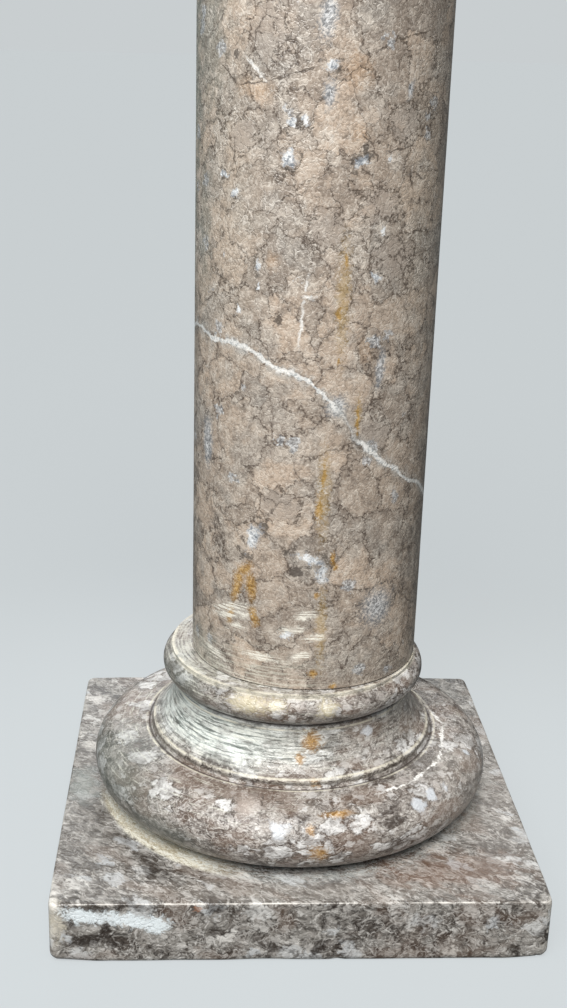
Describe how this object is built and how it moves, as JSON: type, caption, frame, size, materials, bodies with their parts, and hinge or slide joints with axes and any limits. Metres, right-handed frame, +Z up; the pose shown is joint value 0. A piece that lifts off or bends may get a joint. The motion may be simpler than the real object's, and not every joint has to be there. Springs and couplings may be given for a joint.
{
  "type": "marble pedestal column",
  "caption": "Free-standing marble column: square plinth, turned base moulding, plain round shaft, turned capital and square top slab for a bust or plant.",
  "frame": {"origin": "centre of the plinth's underside", "axes": "+Z up the column, +X to the viewer's right and +Y away from the viewer, square to the plinth's sides"},
  "size_m": [0.3, 0.3, 1.05],
  "materials": {
    "plinth_marble": "worn polish, grey-brown breccia",
    "base_marble": "worn polish, grey and cream breccia",
    "shaft_marble": "polished, warm taupe breccia with a white vein",
    "capital_marble": "worn polish, grey and cream breccia",
    "abacus_marble": "worn polish, grey-brown breccia"
  },
  "bodies": {
    "root": {"plinth": "plinth_marble", "base_moulding": "base_marble", "shaft": "shaft_marble", "capital": "capital_marble", "abacus": "abacus_marble"}
  },
  "joints": []
}
